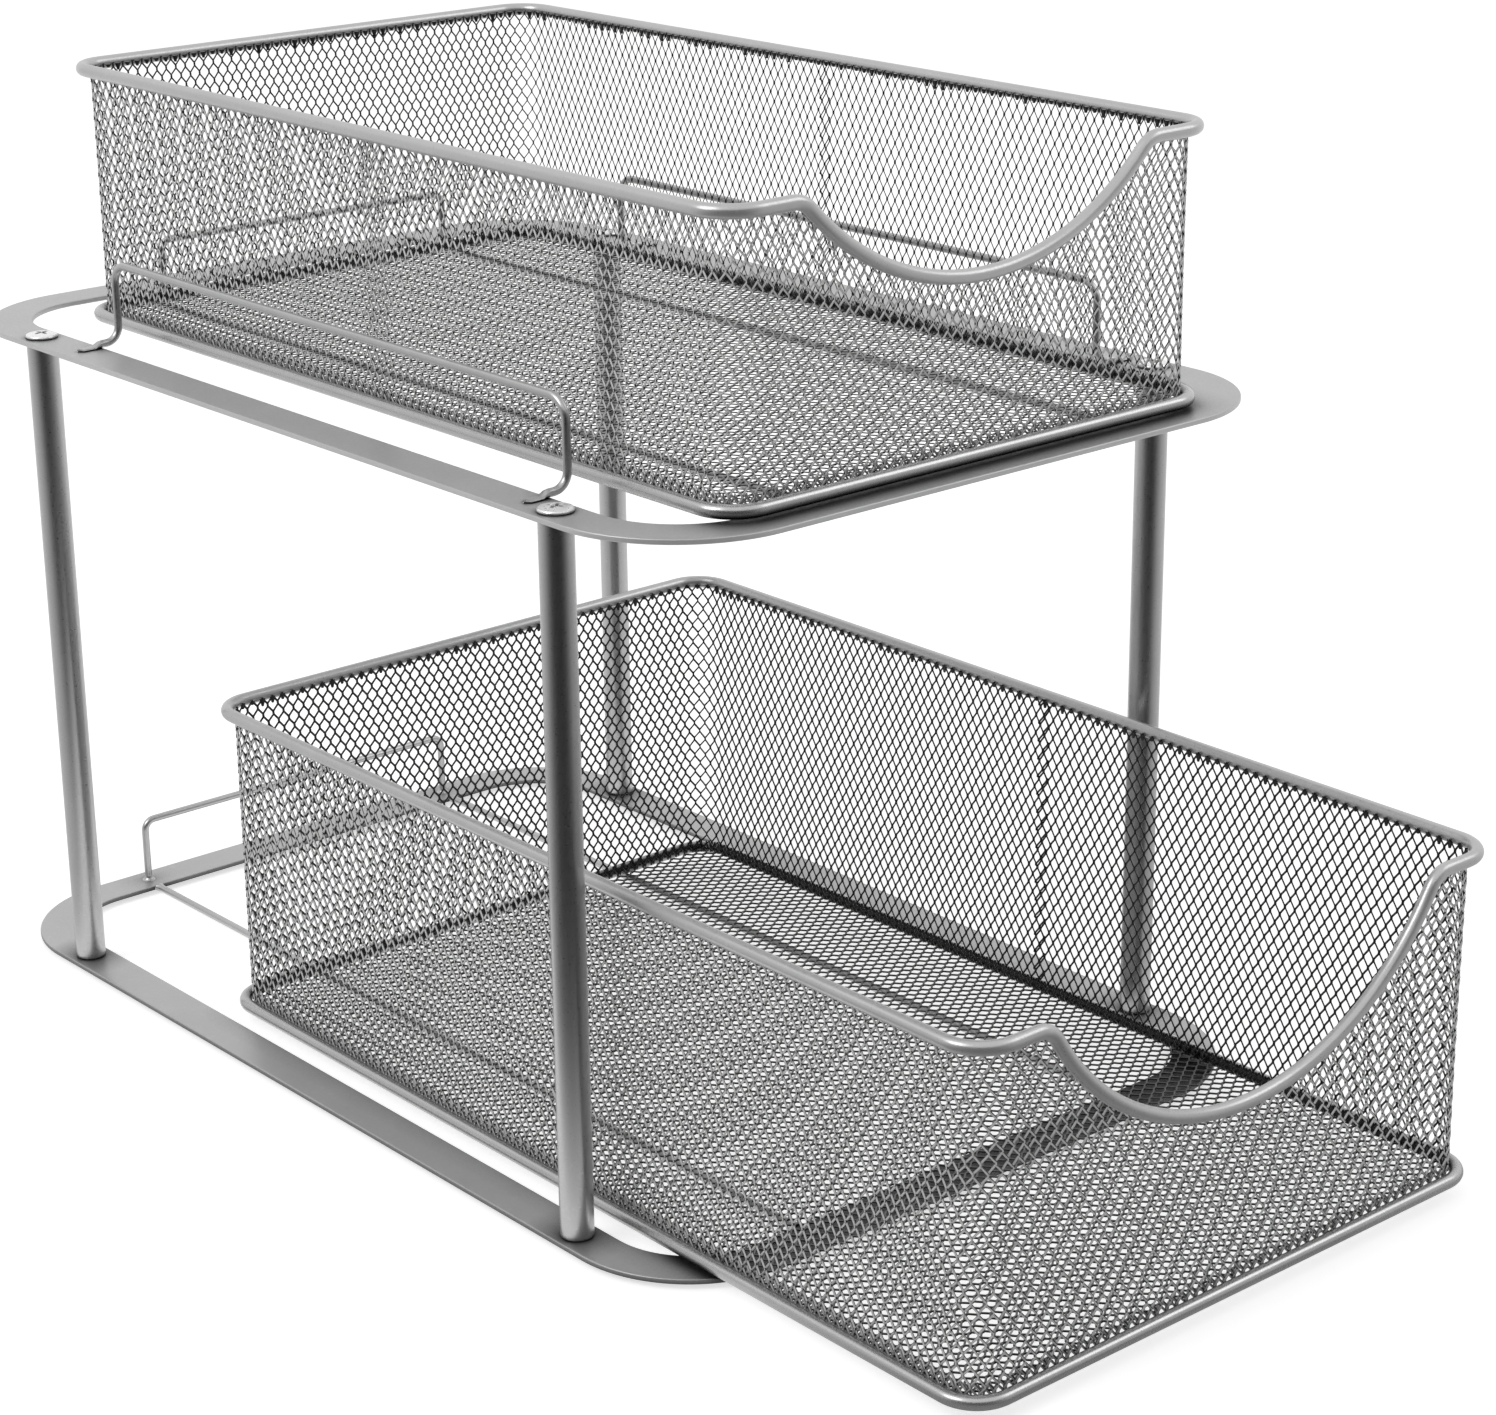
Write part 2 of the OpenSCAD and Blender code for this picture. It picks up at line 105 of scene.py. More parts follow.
# flat_x and flat_y are half the straight stretches of a wall. A cell's short way is level,
# and strand and bond are the widths across and through the sheet.
BASKETS = {
    "upper": basket(226.0, 395.0, 101.0, STOP_Y, 5.0, UPPER_TOP, deep=35.0,
                    cell=(4.32, 7.3), strand=(0.62, 0.33), bond=(0.52, 0.60)),
    "lower": basket(251.0, 427.0, 127.0, LOW_STOP_Y, 131.0, LOWER_TOP, deep=55.0,
                    cell=(4.66, 7.4), strand=(0.68, 0.57), bond=(0.60, 0.82)),
}

# The origin is midway between the joint at the lower basket's front and the rings' rear
FRAME_Y = (BASKETS["lower"]["long"] / 2 + JOINT_PROUD - BASKETS["lower"]["y"] - RING_Y) / 2

# Mesh: strands are flat ribbons that lean about their own length, as stretching leaves them
LEAN, FLOOR_LEAN, LEAN_RUN = 40.0, 12.0, 6.0
STRAND_STEP, BOND_LONG, JOG = 0.18, 0.9, 0.045
LEAST_BAR, CLIP_STEPS = 0.08, 14

# Painted shade on the upper side of a floor's strands: where its tone lies between the shaded share and
# the full tone
LIT_TOP = 0.31

# The sheet's cut upper edge, folded over the rim, is a row of teeth of uneven length
TOOTH_WIDE, TOOTH_THICK, TOOTH_LONG, TOOTH_TIP = 2.4, 0.6, 2.6, 0.3
TOOTH_SPREAD, TOOTH_BELOW_RIM = (0.45, 1.25), 0.4

# Along the foot the sheet is folded up in two more layers: (share of a cell along s, n, z)
WALL_FOOT, FOLD_HIGH = -0.3, 4.6
FOLDS = ((0.25, -0.7, 1.1), (0.5, -1.3, 0.4))

# Where two pieces of wall mesh overlap: (side, how wide), and how the second layer is moved
SEAMS = (("right", 5.0), ("left", 14.0))
SEAM_SHIFT, SEAM_MOVE = 0.9, (0.0, -0.8, 1.3)

# The walls bulge a little in waves, the floors sag, and floor strands stay clear of its ends
WAVE, WAVE_LONG, WAVE_START = 0.25, 31.0, 0.7
SAG, FLOOR_PLAY = 0.35, 0.1

# ---- Mesh helpers -------------------------------------------------------------


def add_object(name, mesh, material):
    mesh.materials.append(material)
    piece = bpy.data.objects.new(name, mesh)
    bpy.context.scene.collection.objects.link(piece)
    return piece


def finish_mesh(name, node, part, material, body, lit=None):
    """Makes the piece that takes a node's place; lit is a value for each face, its painted light and
    shade.
    """
    verts, faces = part
    mesh = bpy.data.meshes.new(name)
    loops = np.concatenate([f.ravel() for f in faces]).astype(np.int32)
    sizes = np.concatenate([np.full(len(f), f.shape[1]) for f in faces])
    starts = np.concatenate([[0], np.cumsum(sizes)[:-1]]).astype(np.int32)
    mesh.vertices.add(len(verts))
    mesh.vertices.foreach_set("co", (np.asarray(verts) * MM).astype(np.float32).ravel())
    mesh.loops.add(len(loops))
    mesh.loops.foreach_set("vertex_index", loops)
    mesh.polygons.add(len(sizes))
    mesh.polygons.foreach_set("loop_start", starts)
    mesh.update(calc_edges=True)
    mesh.polygons.foreach_set("use_smooth", np.full(len(sizes), True))
    if lit is not None:
        attribute = mesh.attributes.new("lit", "FLOAT", "FACE")
        attribute.data.foreach_set("value", np.asarray(lit, np.float32))
    piece = add_object(name, mesh, material)
    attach(piece, body)
    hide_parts(node)


def stand_piece(node, ending, part, material):
    finish_mesh(node + ending, node, part, material, "stand")


def join(parts):
    """Joins several (verts, faces) into one."""
    verts, faces, base = [], [], 0
    for v, fs in parts:
        verts.append(v)
        faces += [f + base for f in fs]
        base += len(v)
    return np.concatenate(verts), faces


def shifted(part, x, y, z):
    return part[0] + np.array([x, y, z], float), part[1]


def unit(v):
    return v / np.linalg.norm(v)


def grid_quads(rows, columns, closed):
    """Quads between rings of points; closed also joins the last ring to the first."""
    i, j = np.meshgrid(np.arange(rows if closed else rows - 1), np.arange(columns), indexing="ij")
    on, turn = (i + 1) % rows, (j + 1) % columns
    corners = [i * columns + j, on * columns + j, on * columns + turn, i * columns + turn]
    return np.stack(corners, -1).reshape(-1, 4)


def circle_outline(count):
    a = np.arange(count) * 2 * math.pi / count
    return np.stack([np.cos(a), np.sin(a)], 1)


def strip_outline():
    """The strip's section with rounded edges, and a point beside each rounding to keep the flats flat."""
    x, y = STRIP_WIDE / 2 - STRIP_EDGE, STRIP_THICK / 2 - STRIP_EDGE
    points = []
    for cx, cy, start in ((x, y, 0), (-x, y, 90), (-x, -y, 180), (x, -y, 270)):
        a = np.radians(start + np.linspace(0, 90, 5))
        arc = np.stack([cx + STRIP_EDGE * np.cos(a), cy + STRIP_EDGE * np.sin(a)], 1)
        towards = EDGE_FLAT if cx < 0 else -EDGE_FLAT
        if start in (0, 180):
            points += [arc, arc[-1:] + [[towards, 0]]]
        else:
            points += [arc[:1] + [[towards, 0]], arc]
    return np.concatenate(points)


def bent_path(points, radii, closed=False, chord=1.3, straight=14.0):
    """Points along a wire that is bent with these radii at its inner points.

    chord and straight are the longest steps in a bend and between bends.
    """
    pts = [np.array(p, float) for p in points]
    n, out = len(pts), []
    for i, p in enumerate(pts):
        if not closed and i in (0, n - 1):
            out.append(p[None])
            continue
        u, v = unit(p - pts[i - 1]), unit(pts[(i + 1) % n] - p)
        turn = math.acos(max(-1.0, min(1.0, float(u @ v))))
        across = unit(v - u * (u @ v))
        centre = p - u * radii[i] * math.tan(turn / 2) + across * radii[i]
        a = np.linspace(0, turn, max(4, math.ceil(radii[i] * turn / chord)) + 1)[:, None]
        out.append(centre - across * radii[i] * np.cos(a) + u * radii[i] * np.sin(a))
    path = np.concatenate(out)
    if closed:
        path = np.concatenate([path, path[:1]])
    full = [path[:1]]
    for a, b in zip(path[:-1], path[1:]):
        cuts = max(1, math.ceil(np.linalg.norm(b - a) / straight))
        full.append(a + (b - a) * np.arange(1, cuts + 1)[:, None] / cuts)
    path = np.concatenate(full)
    return path[:-1] if closed else path


def from_ends(path):
    """Distance along the path from each of its points to the nearer end."""
    steps = np.linalg.norm(np.diff(path, axis=0), axis=1)
    s = np.concatenate([[0], np.cumsum(steps)])
    return np.minimum(s, s[-1] - s)


def carried_frames(path, closed, up):
    """Side and up directions that are carried along the path without twisting."""
    if closed:
        t = np.roll(path, -1, 0) - np.roll(path, 1, 0)
    else:
        t = np.gradient(path, axis=0)
    t /= np.linalg.norm(t, axis=1)[:, None]
    ups = np.empty_like(path)
    u = np.array(up, float)
    for i in range(len(path)):
        u = unit(u - t[i] * (u @ t[i]))
        ups[i] = u
    if closed:
        last = unit(u - t[0] * (u @ t[0]))
        slip = math.atan2(np.cross(last, ups[0]) @ t[0], last @ ups[0])
        a = (np.arange(len(path)) / len(path) * slip)[:, None]
        ups = ups * np.cos(a) + np.cross(t, ups) * np.sin(a)
    return np.cross(ups, t), ups


def sweep(path, outline, wide=1.0, high=1.0, closed=False, up=(0, 0, 1), lift=0.0):
    """A bar along the path. wide and high scale its outline, and lift shifts it along up."""
    side, ups = carried_frames(path, closed, up)
    n, m = len(path), len(outline)
    wide, high, lift = (np.broadcast_to(v, n)[:, None] for v in (wide, high, lift))
    centre = path + ups * lift
    verts = (centre[:, None] + side[:, None] * (outline[None, :, :1] * wide[:, None])
             + ups[:, None] * (outline[None, :, 1:] * high[:, None])).reshape(-1, 3)
    faces = [grid_quads(n, m, closed)[:, ::-1]]
    if not closed:
        faces += [np.arange(m)[None], (np.arange(m) + (n - 1) * m)[None, ::-1]]
    return verts, faces


def lathe(profile, sides):
    """Turns a closed profile of (radius, height) points about the z axis."""
    r, z = np.array(profile, float).T
    round_ = circle_outline(sides)
    verts = np.stack([r * round_[:, :1], r * round_[:, 1:], np.tile(z, (sides, 1))], -1)
    return verts.reshape(-1, 3), [grid_quads(sides, len(r), True)]


# ---- Materials ----------------------------------------------------------------

# The scales are for places in metres, and RELIEF is in metres too
CLOUD_SCALE, SPECK_SCALE, RELIEF = 38.0, 420.0, 0.00012
CLOUD_SPREAD, SPECK_TONE, SPECK_FROM, SPECK_TO = 0.03, 0.02, 0.58, 0.72
ROUGH_LOW, ROUGH_HIGH = 0.85, 1.2
GAP_SAMPLES = 6


class Graph:
    """The nodes of a material or of the world."""

    def __init__(self, owner, empty=True):
        owner.use_nodes = True
        self.nodes, self.links = owner.node_tree.nodes, owner.node_tree.links
        if empty:
            self.nodes.clear()

    def feed(self, socket, value):
        """Gives an input another node's output, or else a plain value."""
        if isinstance(value, bpy.types.NodeSocket):
            self.links.new(value, socket)
        else:
            socket.default_value = value

    def add(self, kind, inputs=()):
        node = self.nodes.new("ShaderNode" + kind)
        for name, value in dict(inputs).items():
            self.feed(node.inputs[name], value)
        return node

    def math(self, operation, *values):
        node = self.nodes.new("ShaderNodeMath")
        node.operation = operation
        for socket, value in zip(node.inputs, values):
            self.feed(socket, value)
        return node.outputs[0]

    def object_coords(self):
        return self.add("TexCoord").outputs["Object"]

    def noise(self, coords, scale, detail):
        inputs = {"Vector": coords, "Scale": scale, "Detail": detail}
        return self.add("TexNoise", inputs).outputs["Fac"]

    def spread(self, value, low, high, low_in=0.3, high_in=0.7):
        """Maps low_in to high_in onto low to high, and holds what lies outside."""
        inputs = {"Value": value, "From Min": low_in, "From Max": high_in, "To Min": low, "To Max": high}
        return self.add("MapRange", inputs).outputs["Result"]

    def ramp(self, value, stops):
        """A grey ramp through (place, grey) stops."""
        node = self.add("ValToRGB", {"Fac": value})
        elements = node.color_ramp.elements
        elements[0].position, elements[-1].position = stops[0][0], stops[-1][0]
        for place, _ in stops[1:-1]:
            elements.new(place)
        for element, (_, grey) in zip(elements, stops):
            element.color = (grey, grey, grey, 1)
        return node.outputs["Color"]


def coat(name, tone, rough, metallic=1.0, grain=1400.0, bump=0.10, shade_share=None, gap_shade=None):
    """Silver coat: cloudy tone, fine grain in height and roughness, and paler worn specks.

    With shade_share, the tone falls to that share of itself where the faces' lit value is 0: painted shade
    on faces turned from the light.
    gap_shade is (reach in metres, power) of the painted shade that darkens narrow gaps and spots under
    other parts.
    """
    material = bpy.data.materials.new(name)
    graph = Graph(material, empty=False)
    shader = graph.nodes["Principled BSDF"]
    coords = graph.object_coords()
    cloud = graph.spread(graph.noise(coords, CLOUD_SCALE, 4.0),
                         tone * (1 - CLOUD_SPREAD), tone * (1 + CLOUD_SPREAD))
    speck = graph.spread(graph.noise(coords, SPECK_SCALE, 2.0), 0.0, SPECK_TONE, SPECK_FROM, SPECK_TO)
    grey = graph.math("ADD", cloud, speck)
    if shade_share is not None:
        # Painted shade: faces with a lit value of 0 keep only a small share of the tone, a value of 1
        # keeps it all
        lit = graph.add("Attribute")
        lit.attribute_name = "lit"
        grey = graph.math("MULTIPLY", graph.spread(lit.outputs["Fac"], shade_share, 1.0, 0.0, 1.0), grey)
    if gap_shade is not None:
        # Painted shade: ambient occlusion darkens the tone in narrow gaps, under the base wire and round
        # the screw heads
        reach, power = gap_shade
        gap = graph.add("AmbientOcclusion", {"Distance": reach})
        gap.samples = GAP_SAMPLES
        grey = graph.math("MULTIPLY", graph.math("POWER", gap.outputs["AO"], power), grey)
    colour = graph.add("CombineColor", {"Red": grey, "Green": grey, "Blue": grey})
    fine = graph.noise(coords, grain, 2.0)
    relief = graph.add("Bump", {"Strength": bump, "Distance": RELIEF, "Height": fine})
    graph.feed(shader.inputs["Metallic"], metallic)
    graph.feed(shader.inputs["Base Color"], colour.outputs["Color"])
    graph.feed(shader.inputs["Roughness"], graph.spread(fine, rough * ROUGH_LOW, rough * ROUGH_HIGH))
    graph.feed(shader.inputs["Normal"], relief.outputs["Normal"])
    return material


frame_coat = coat("frame_coat", 0.47, 0.32, bump=0.05)
# The strip, base wire and screws get painted shade from ambient occlusion in narrow gaps
strip_coat = coat("strip_coat", 0.49, 0.38, metallic=0.55, bump=0.03, gap_shade=(0.015, 3.4))
wire_coat = coat("wire_coat", 0.49, 0.32, metallic=0.75, grain=1600.0, bump=0.05)
base_coat = coat("base_coat", 0.48, 0.28, metallic=0.85, grain=1600.0, bump=0.05, gap_shade=(0.006, 3.0))
# The mesh strands' faces get painted light and shade through their lit values
mesh_coat = coat("mesh_coat", 0.50, 0.40, metallic=0.3, grain=2000.0, bump=0.06, shade_share=0.023)
screw_steel = coat("screw_steel", 0.90, 0.30, metallic=0.7, grain=700.0, bump=0.04, gap_shade=(0.002, 3.0))
plug_steel = coat("plug_steel", 0.30, 0.45, grain=600.0)

# ---- Stand --------------------------------------------------------------------


def make_ring(node, bottom):
    x, y, r = RING_X - STRIP_WIDE / 2, RING_Y - STRIP_WIDE / 2, RING_CORNER - STRIP_WIDE / 2
    corners = [(-x, -y, 0), (x, -y, 0), (x, y, 0), (-x, y, 0)]
    path = bent_path(corners, [r] * 4, closed=True, chord=2.0)
    part = sweep(path, strip_outline(), closed=True)
    stand_piece(node, "_strip", shifted(part, 0, FRAME_Y, bottom + STRIP_THICK / 2), strip_coat)


def post_profile():
    """Half section of a post: rounded ends outside, and a straight bore."""
    edge = POST_EDGE
    turns = np.radians(np.linspace(0, 90, 6))
    foot = [(POST_R - edge + edge * math.sin(a), edge - edge * math.cos(a)) for a in turns]
    head = [(r, POST_LONG - h) for r, h in reversed(foot)]
    flank = [(POST_R, edge + POST_FLAT), (POST_R, POST_LONG - edge - POST_FLAT)]
    bore = [(POST_R - POST_WALL, h) for h in (POST_LONG, POST_LONG - BORE_FLAT, BORE_FLAT, 0.0)]
    return foot + flank + head + bore


def screw_part(turned, upside):
    """A low domed head with a cross recess, standing on z = 0, and its shank below."""
    arm = math.radians(turned)
    a = np.arange(SCREW_SIDES) * 2 * math.pi / SCREW_SIDES + arm
    dome_high = HEAD_HIGH - DOME_FOOT
    dome = [(r, DOME_FOOT + dome_high * math.sqrt(1 - (r / DOME_ROUND) ** 2)) for r in DOME_RINGS]
    rings = []
    for r, z in dome + list(HEAD_EDGE) + [(SHANK_R, 0.0), (SHANK_R, -SHANK_LONG)]:
        rings.append(np.stack([r * np.cos(a), r * np.sin(a), np.full(SCREW_SIDES, z)], 1))
    for ring in rings[:len(dome)]:
        u = np.abs(ring[:, 0] * math.cos(arm) + ring[:, 1] * math.sin(arm))
        v = np.abs(-ring[:, 0] * math.sin(arm) + ring[:, 1] * math.cos(arm))
        ring[(np.minimum(u, v) < SLOT_HALF) & (np.maximum(u, v) < SLOT_REACH), 2] -= SLOT_DEEP
    verts = np.concatenate(rings)
    if upside:
        verts = verts * np.array([1, -1, -1])
    return verts, [grid_quads(len(rings), SCREW_SIDES, False)]


def make_screws(node, level, upside):
    parts = []
    for turned, (sx, sy) in zip(SCREW_TURNS, POSTS.values()):
        parts.append(shifted(screw_part(turned, upside), sx * POST_X, FRAME_Y + sy * POST_Y, level))
    stand_piece(node, "_heads", join(parts), screw_steel)


def make_rail(node, x, top):
    """A straight rail between the strip's inner edges, with a small flat weld at each end."""
    steps = np.array(RAIL_STEPS)
    ys = np.concatenate([steps - INNER_Y, (INNER_Y - steps[:-1])[::-1]])
    path = np.stack([np.full(len(ys), x), FRAME_Y + ys, np.full(len(ys), top + RAIL_PROUD - GUARD_R)], 1)
    wide = GUARD_R + RAIL_WELD * np.exp(-(from_ends(path) / RAIL_WELD_RUN) ** 2)
    high = np.minimum(wide, GUARD_R + RAIL_WELD_HIGH)
    stand_piece(node, "_wire", sweep(path, circle_outline(GUARD_SIDES), wide, high), frame_coat)


def make_guard(node, points, corner):
    """A guard wire over the upper ring; its ends are pressed flat and welded down."""
    path = bent_path(points, [0, FOOT_BEND, corner, corner, FOOT_BEND, 0], chord=0.8, straight=2.0)
    ends = from_ends(path)
    press = np.clip((FOOT_LONG - ends) / FOOT_RUN, 0, 1)
    press = press * press * (3 - 2 * press)
    tip = np.sqrt(np.clip(1 - np.clip(1 - ends / FOOT_TIP, 0, 1) ** 2, FOOT_BLUNT, 1))
    wide = (GUARD_R + FOOT_WIDER * press) * tip
    down = (GUARD_R - FOOT_HALF) * press
    part = sweep(path, circle_outline(GUARD_SIDES), wide, GUARD_R - down, lift=-down)
    stand_piece(node, "_wire", shifted(part, 0, FRAME_Y, UPPER_TOP), frame_coat)


def make_low_stop(node):
    """The lower stop stands on two legs, with a weld round the foot of each."""
    x, y = LOW_STOP_X, LOW_STOP_Y
    points = [(-x, y, 0), (-x, y, LOW_STOP_HIGH), (x, y, LOW_STOP_HIGH), (x, y, 0)]
    path = bent_path(points, [0, STOP_CORNER, STOP_CORNER, 0], chord=0.7, straight=1.0)
    swell = GUARD_R + LEG_WELD * np.exp(-(from_ends(path) / LEG_WELD_RUN) ** 2)
    part = sweep(path, circle_outline(GUARD_SIDES), swell, swell, up=(1, 0, 0))
    stand_piece(node, "_wire", shifted(part, 0, FRAME_Y, LOWER_TOP), frame_coat)


make_ring("lower_ring", HEAD_HIGH)
make_ring("upper_ring", UPPER_BOTTOM)
for place, (sx, sy) in POSTS.items():
    tube = shifted(lathe(post_profile(), POST_SIDES), sx * POST_X, FRAME_Y + sy * POST_Y, LOWER_TOP)
    stand_piece("post_" + place, "_tube", tube, frame_coat)
make_screws("top_screws", UPPER_TOP, False)
make_screws("bottom_screws", HEAD_HIGH, True)

for node in ("top_inserts", "bottom_inserts"):
    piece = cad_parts[node]
    piece.data.materials.clear()
    piece.data.materials.append(plug_steel)

for level, top, gap in (("upper", UPPER_TOP, UPPER_GAP), ("lower", LOWER_TOP, LOWER_GAP)):
    for place, side in (("left", -1), ("right", 1)):
        make_rail(f"{level}_rail_{place}", side * gap / 2, top)

for place, side in (("left", -1), ("right", 1)):
    x, reach = side * GUARD_X, side * (INNER_X + FOOT_REACH)
    make_guard("upper_guard_" + place, [
        (reach, GUARD_FRONT, GUARD_R), (x, GUARD_FRONT, GUARD_R), (x, GUARD_FRONT, GUARD_HIGH),
        (x, GUARD_REAR, GUARD_HIGH), (x, GUARD_REAR, GUARD_R), (reach, GUARD_REAR, GUARD_R)], GUARD_CORNER)

reach = INNER_Y + FOOT_REACH
make_guard("upper_guard_back", [
    (-STOP_X, reach, GUARD_R), (-STOP_X, STOP_Y, GUARD_R), (-STOP_X, STOP_Y, STOP_HIGH),
    (STOP_X, STOP_Y, STOP_HIGH), (STOP_X, STOP_Y, GUARD_R), (STOP_X, reach, GUARD_R)], STOP_CORNER)
make_low_stop("lower_guard_back")

# ---- Basket walls -------------------------------------------------------------
# Walls are drawn flat in (s, n, z): s runs round the basket from the middle of its front,
# n is outward from the sheet's middle, and z is up from the base wire's middle.


def perimeter(b):
    return 4 * b["flat_x"] + 4 * b["flat_y"] + 2 * math.pi * MESH_CORNER


def scoop_slope(deep):
    total = SCOOP_ROUND + SCOOP_BEND
    return (math.acos((total - deep) / math.hypot(total, SCOOP_STRAIGHT))
            - math.atan(SCOOP_STRAIGHT / total))


def scoop_curve(x, deep):
    """Height of the rim's middle over the scoop, against the level rim."""
    slope = scoop_slope(deep)
    x = np.abs(x)
    x1 = SCOOP_ROUND * math.sin(slope)
    x2 = x1 + SCOOP_STRAIGHT * math.cos(slope)
    x3 = x2 + SCOOP_BEND * math.sin(slope)
    z1 = SCOOP_ROUND - deep - SCOOP_ROUND * math.cos(slope)
    arc = SCOOP_ROUND - deep - np.sqrt(np.clip(SCOOP_ROUND ** 2 - x ** 2, 0, None))
    flank = z1 + (x - x1) * math.tan(slope)
    bend = -SCOOP_BEND + np.sqrt(np.clip(SCOOP_BEND ** 2 - (x - x3) ** 2, 0, None))
    return np.where(x < x1, arc, np.where(x < x2, flank, np.where(x < x3, bend, 0.0)))


def wall_height(b):
    """The height of the wall's upper edge as a function of s."""
    total = perimeter(b)

    def height(s):
        s = np.mod(s + total / 2, total) - total / 2
        return b["tall"] + np.where(np.abs(s) < b["flat_x"], scoop_curve(s, b["deep"]), 0.0)
    return height


def wall_place(s, n, b):
    """x and y of wall points at s and n, from the basket's middle."""
    r, rx, ry = MESH_CORNER, b["flat_x"], b["flat_y"]
    arc = r * math.pi / 2
    s = np.mod(s, perimeter(b))
    lengths = np.array([rx, arc, 2 * ry, arc, 2 * rx, arc, 2 * ry, arc, rx])
    ends = np.cumsum(lengths)
    which = np.searchsorted(ends, s, side="right").clip(0, 8)
    t = s - (ends - lengths)[which]
    x, y = np.zeros_like(s), np.zeros_like(s)
    flats = {0: (0, -ry - r, 1, 0), 2: (rx + r, -ry, 0, 1), 4: (rx, ry + r, -1, 0),
             6: (-rx - r, ry, 0, -1), 8: (-rx, -ry - r, 1, 0)}
    bends = {1: (rx, -ry, -90), 3: (rx, ry, 0), 5: (-rx, ry, 90), 7: (-rx, -ry, 180)}
    for k, (x0, y0, dx, dy) in flats.items():
        m = which == k
        x[m] = x0 + dx * t[m] + dy * n[m]
        y[m] = y0 + dy * t[m] - dx * n[m]
    for k, (cx, cy, start) in bends.items():
        m = which == k
        a = np.radians(start) + t[m] / r
        x[m] = cx + (r + n[m]) * np.cos(a)
        y[m] = cy + (r + n[m]) * np.sin(a)
    return x, y


def beams(start, end, across, deep, tip=1.0, lean=0.0):
    """Four-sided bars from start to end, as eight points and four faces each.

    across and deep are half sizes, tip narrows the end, and lean (degrees, one or one for each
    bar) turns the outer faces towards growing s. Each bar's first face is its outer one.
    """
    d = end - start
    d /= np.linalg.norm(d, axis=1)[:, None]
    f = np.stack([-d[:, 1], d[:, 0], np.zeros(len(d))], 1)
    size = np.linalg.norm(f, axis=1)[:, None]
    f = np.where(size > 1e-6, f / np.maximum(size, 1e-6), np.array([0.0, 1.0, 0.0]))
    f = f * np.sign(f[:, 1:2] + 1e-9)
    t = np.cross(d, f)
    turn = np.radians(lean) * np.ones(len(d)) * -np.sign(d[:, 2] + 1e-9)
    c, s = np.cos(turn)[:, None], np.sin(turn)[:, None]
    t, f = t * c - f * s, f * c + t * s
    corners = [(1, 1), (-1, 1), (-1, -1), (1, -1)]
    near = np.stack([start + t * across * i + f * deep * j for i, j in corners], 1)
    far = np.stack([end + t * across * tip * i + f * deep * j for i, j in corners], 1)
    base = np.arange(len(d))[:, None] * 8
    quads = [base + np.array([k, (k + 1) % 4, (k + 1) % 4 + 4, k + 4]) for k in range(4)]
    return np.concatenate([near, far], 1), np.stack(quads, 1)


def lattice(length, height, short, tall, shift=0.0, closed=False):
    """Start and end points of the strands and of the bonds of stretched mesh over a field.

    The strands climb from bond to bond and step from the back to the front of the sheet.
    """
    columns = 2 * round(length / short)
    dx, dz = length / columns, tall / 2
    rows = math.ceil(height / dz) + 1
    k, m = np.meshgrid(np.arange(columns + (0 if closed else 1)), np.arange(-1, rows + 1), indexing="ij")
    keep = (k + m) % 2 == 0
    k, m = k[keep], m[keep]
    jog = rng.normal(0, JOG, (columns + 2, rows + 4))
    if closed:
        jog[columns] = jog[0]

    def knot(k, m, depth, up):
        s = k * dx + jog[k, m + 1] + shift
        return np.stack([s, np.full(len(k), depth), m * dz + up * BOND_LONG / 2 + jog[k, m + 1]], 1)

    starts, ends = [], []
    for way in (1, -1):
        ok = (m + way >= -1) & (m + way <= rows) & (closed | (k < columns))
        starts.append(knot(k[ok], m[ok], -STRAND_STEP, way))
        ends.append(knot(k[ok] + 1, m[ok] + way, STRAND_STEP, -way))
    return np.concatenate(starts), np.concatenate(ends), knot(k, m, 0.0, -1), knot(k, m, 0.0, 1)


def clip_between(start, end, low, high):
    """Shortens bars to where low(s) <= z <= high(s), and drops those that are outside."""
    def inside(p):
        return (p[:, 2] >= low(p[:, 0])) & (p[:, 2] <= high(p[:, 0]))

    a_in, b_in = inside(start), inside(end)
    keep = a_in | b_in
    start, end, a_in, b_in = start[keep], end[keep], a_in[keep], b_in[keep]
    for fixed, loose, cut in ((start, end, a_in & ~b_in), (end, start, b_in & ~a_in)):
        lo, hi = fixed[cut], loose[cut]
        for _ in range(CLIP_STEPS):
            mid = (lo + hi) / 2
            ok = inside(mid)[:, None]
            lo, hi = np.where(ok, mid, lo), np.where(ok, hi, mid)
        loose[cut] = lo
    whole = np.linalg.norm(end - start, axis=1) > LEAST_BAR
    return start[whole], end[whole]


def lean_of(s, over, arc, back):
    """Lean of the strands at the places s.

    It turns over edgewise in the corner that starts at over, and flat in the one round back.
    """
    t = np.clip((s - over) / arc, 0, 1)
    edgewise = np.where(t < 0.5, -1, 1) * (LEAN + (90 - LEAN) * 2 * np.minimum(t, 1 - t))
    return np.where(s < (over + back) / 2, edgewise, -LEAN * np.tanh((s - back) / LEAN_RUN))


